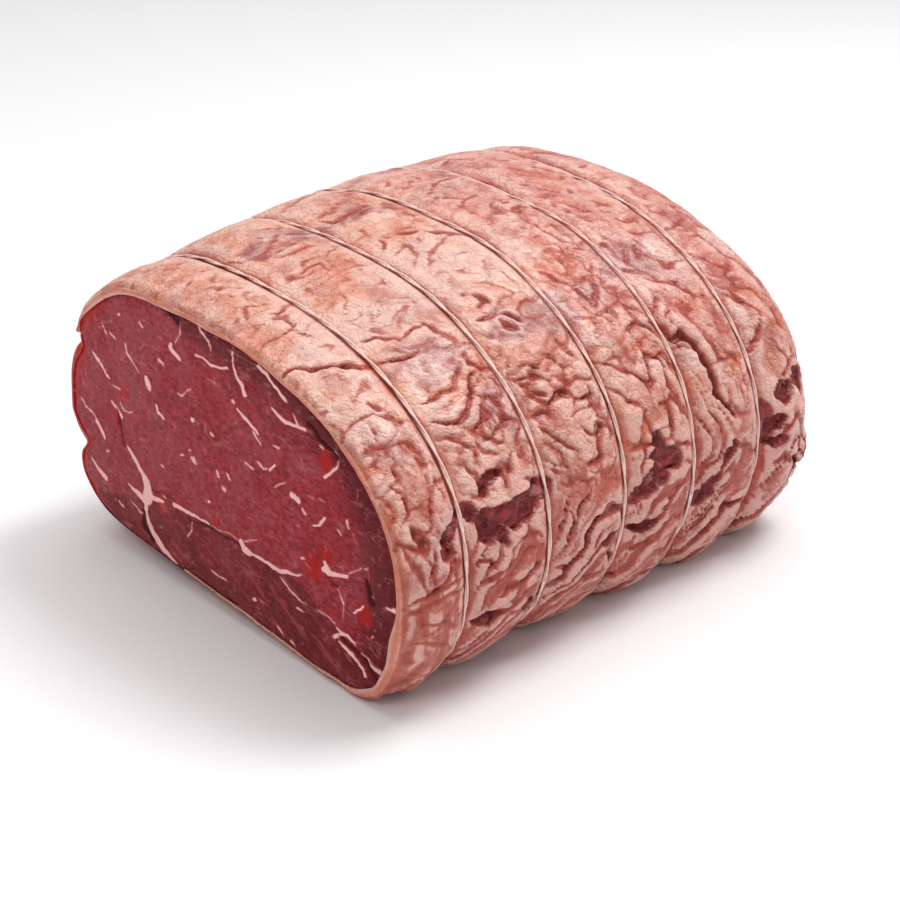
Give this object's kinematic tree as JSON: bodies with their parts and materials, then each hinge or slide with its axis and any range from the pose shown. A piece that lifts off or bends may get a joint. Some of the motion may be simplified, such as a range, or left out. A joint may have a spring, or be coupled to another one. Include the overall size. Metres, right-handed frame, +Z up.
{
  "type": "rolled beef roast",
  "caption": "Raw boneless beef joint rolled under a fat cover, tied with string round and round, and cut across so that the red lean shows at each end.",
  "frame": {"origin": "under the middle of the roast, on the surface it rests on", "axes": "+X along the roast from the shown cut to the far cut, +Z up; the shown flank faces -Y"},
  "size_m": [0.1662, 0.1586, 0.1035],
  "materials": {
    "lean": "moist, soft sheen",
    "fat_cover": "moist, satin",
    "string": "twisted cotton, damp"
  },
  "bodies": {
    "root": {"lean": "lean", "fat_cover": "fat_cover", "string_1": "string", "string_2": "string", "string_3": "string", "string_4": "string", "string_5": "string"}
  },
  "joints": []
}
